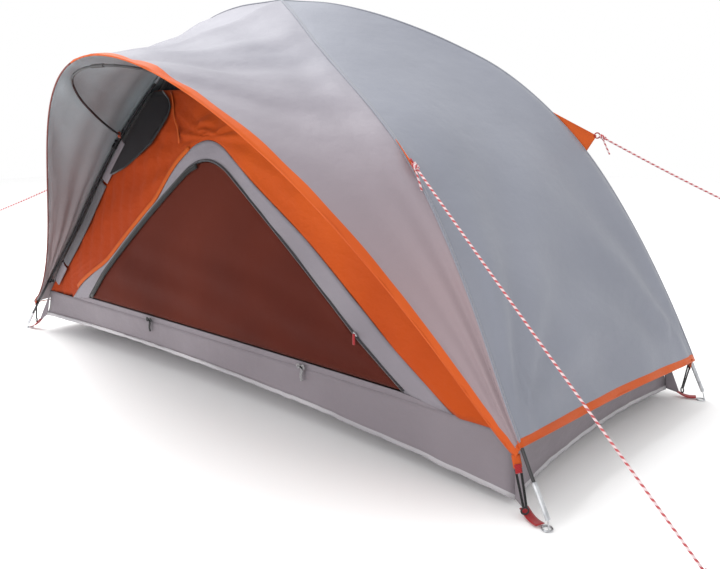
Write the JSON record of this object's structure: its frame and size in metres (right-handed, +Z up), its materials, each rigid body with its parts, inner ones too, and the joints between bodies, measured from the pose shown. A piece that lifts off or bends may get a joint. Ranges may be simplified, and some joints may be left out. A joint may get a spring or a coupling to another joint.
{
  "type": "dome tent",
  "caption": "Low one-person dome tent on two crossed bowed poles, with a brow hoop and arched awning over a triangular mesh door, a separate flysheet and guylines.",
  "frame": {"origin": "middle of the groundsheet's underside, on the ground", "axes": "+Z up; +X along the long side that has the door; the door and its awning face -Y"},
  "size_m": [2.6264, 1.2364, 1.1432],
  "materials": {
    "fly_fabric": "coated polyester, soft sheen",
    "trim_fabric": "bright orange polyester binding",
    "orange_fabric": "thin breathable polyester",
    "grey_fabric": "coated polyester, wrinkled",
    "brown_mesh": "fine insect mesh",
    "black_mesh": "fine insect mesh",
    "pole_rod": "black fibreglass rod",
    "steel_fitting": "bright zinc plate",
    "red_webbing": "woven webbing",
    "black_elastic": "flat elastic and moulded hook",
    "guy_rope": "red and white braided cord"
  },
  "bodies": {
    "inner_tent": {"left_pole_rod_1": "pole_rod", "left_pole_rod_2": "pole_rod", "left_pole_rod_3": "pole_rod", "right_pole_rod_1": "pole_rod", "right_pole_rod_2": "pole_rod", "right_pole_rod_3": "pole_rod", "brow_hoop_left_rod": "pole_rod", "brow_hoop_right_rod": "pole_rod", "left_pole_ferrule_1": "steel_fitting", "left_pole_ferrule_2": "steel_fitting", "right_pole_ferrule_1": "steel_fitting", "right_pole_ferrule_2": "steel_fitting", "brow_hoop_ferrule": "steel_fitting", "foot_ferrule_front_left": "steel_fitting", "foot_ferrule_front_right": "steel_fitting", "foot_ferrule_back_right": "steel_fitting", "foot_ferrule_back_left": "steel_fitting", "ring_pin_front_left": "steel_fitting", "ring_pin_front_right": "steel_fitting", "ring_pin_back_right": "steel_fitting", "ring_pin_back_left": "steel_fitting", "corner_webbing_front_left": "red_webbing", "corner_webbing_front_right": "red_webbing", "corner_webbing_back_right": "red_webbing", "corner_webbing_back_left": "red_webbing", "hoop_seat_left": "orange_fabric", "hoop_seat_right": "orange_fabric", "door_tie_left": "black_elastic", "door_tie_right": "grey_fabric", "groundsheet_floor": "grey_fabric", "bathtub_wall": "grey_fabric", "door_border": "grey_fabric", "inner_wall_back": "orange_fabric", "inner_wall_head": "orange_fabric", "inner_wall_foot": "orange_fabric", "inner_wall_front": "orange_fabric", "mesh_roof": "black_mesh"},
    "door": {"door_panel": "brown_mesh"},
    "zip_runner": {"zip_slider": "steel_fitting"},
    "zip_tab": {"zip_pull": "red_webbing"},
    "flysheet": {"fly_panel_back": "fly_fabric", "fly_panel_head": "fly_fabric", "fly_panel_foot": "fly_fabric", "fly_awning": "fly_fabric", "awning_trim": "trim_fabric", "guy_gusset_front_left": "orange_fabric", "guy_gusset_front_right": "orange_fabric", "guy_gusset_back_right": "orange_fabric", "guy_gusset_back_left": "orange_fabric", "fly_hook_front_left": "black_elastic", "fly_hook_front_right": "black_elastic", "fly_hook_back_right": "black_elastic", "fly_hook_back_left": "black_elastic", "guyline_front_left": "guy_rope", "guyline_front_right": "guy_rope", "guyline_back_right": "guy_rope", "guyline_loop_front_left": "guy_rope", "guyline_loop_front_right": "guy_rope", "guyline_loop_back_right": "guy_rope"}
  },
  "joints": [
    {"name": "door_fold", "type": "hinge", "parent": "inner_tent", "child": "door", "pos_m": [0, -0.4175, 0.175], "axis": [1, 0, 0], "range_deg": [0, 105]},
    {"name": "zip_travel", "type": "slide", "parent": "inner_tent", "child": "zip_runner", "axis": [-0.8208, 0.0942, 0.5634], "range_m": [0, 0.38]},
    {"name": "zip_pull_swing", "type": "hinge", "parent": "zip_runner", "child": "zip_tab", "pos_m": [0.5715, -0.437, 0.292], "axis": [-1, 0, 0], "range_deg": [0, 150]},
    {"name": "fly_lift", "type": "slide", "parent": "inner_tent", "child": "flysheet", "axis": [0, 0, 1], "range_m": [0, 1.25]}
  ]
}
